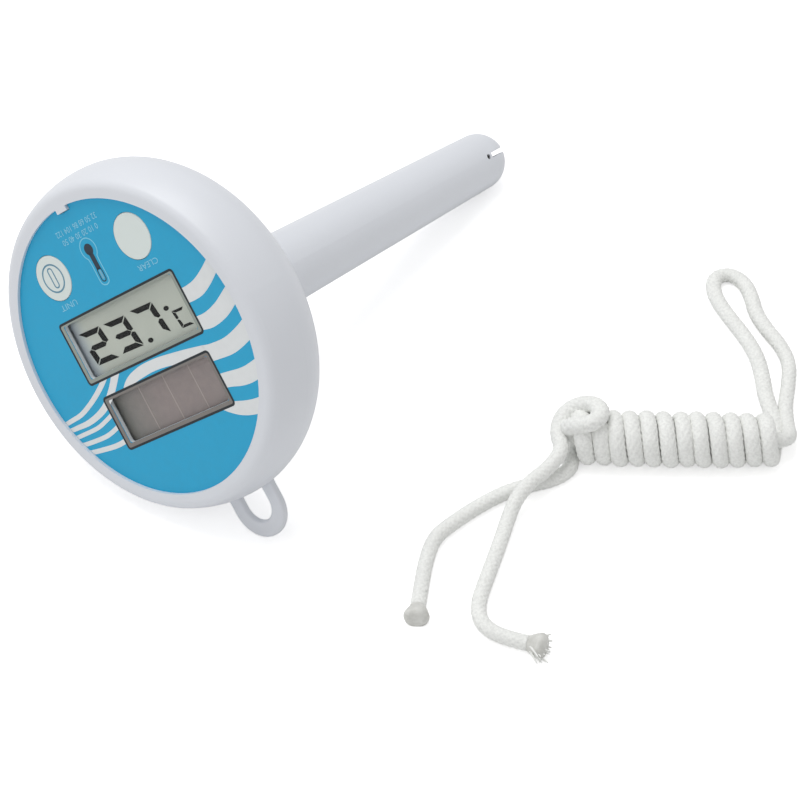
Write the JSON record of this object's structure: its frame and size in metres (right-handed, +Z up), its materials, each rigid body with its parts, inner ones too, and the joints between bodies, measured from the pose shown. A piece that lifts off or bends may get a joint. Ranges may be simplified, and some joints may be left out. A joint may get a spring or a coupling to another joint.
{
  "type": "floating pool thermometer",
  "caption": "Round float with a sunken digital display face, solar cell window and push buttons, a long tapered probe stem behind it and a loose braided tether.",
  "frame": {"origin": "on the ground under the middle of the box round the thermometer without its tether", "axes": "+Z up, +Y from the face towards the tip of the stem, +X to the right of someone who looks at the face"},
  "size_m": [0.2056, 0.1914, 0.1029],
  "materials": {
    "shell_plastic": "smooth moulded, soft gloss",
    "panel_plastic": "moulded",
    "face_film": "printed satin film",
    "clear_window": "clear",
    "button_plastic": "fine satin",
    "display_glass": "grey-green liquid crystal",
    "cell_glass": "dark amorphous cell",
    "seal_rubber": "soft",
    "board_resin": "solder mask",
    "black_resin": "cast resin",
    "switch_plastic": "moulded",
    "steel": "plated",
    "lead_jacket": "soft vinyl",
    "tether_braid": "diamond braid",
    "melted_cord": "melted"
  },
  "bodies": {
    "root": {"float_shell": "shell_plastic", "front_panel": "panel_plastic", "panel_gasket": "seal_rubber", "face_label": "face_film", "display_window": "clear_window", "solar_window": "clear_window", "lcd_display": "display_glass", "zebra_strip": "seal_rubber", "solar_cell": "cell_glass", "solar_leads": "steel", "circuit_board": "board_resin", "controller_chip": "black_resin", "board_screws": "steel", "backup_cell": "steel", "cell_clip": "steel", "unit_switch": "switch_plastic", "reset_switch": "switch_plastic", "stem_tube": "shell_plastic", "stem_seal": "seal_rubber", "sensor_probe": "black_resin", "sensor_lead": "lead_jacket", "probe_potting": "black_resin", "ballast_weight": "steel", "tether_strand": "tether_braid", "tether_winding": "tether_braid", "tether_tail": "tether_braid", "tether_melt": "melted_cord", "tether_fray": "melted_cord"},
    "unit_button": {"unit_button": "button_plastic", "unit_plunger": "switch_plastic"},
    "reset_button": {"reset_button": "button_plastic", "reset_plunger": "switch_plastic"}
  },
  "joints": [
    {"name": "unit_press", "type": "slide", "parent": "root", "child": "unit_button", "axis": [0, 0.9668, -0.2557], "range_m": [0, 0.0004], "stiffness_N_per_m": 400},
    {"name": "reset_press", "type": "slide", "parent": "root", "child": "reset_button", "axis": [0, 0.9668, -0.2557], "range_m": [0, 0.0004], "stiffness_N_per_m": 400}
  ]
}
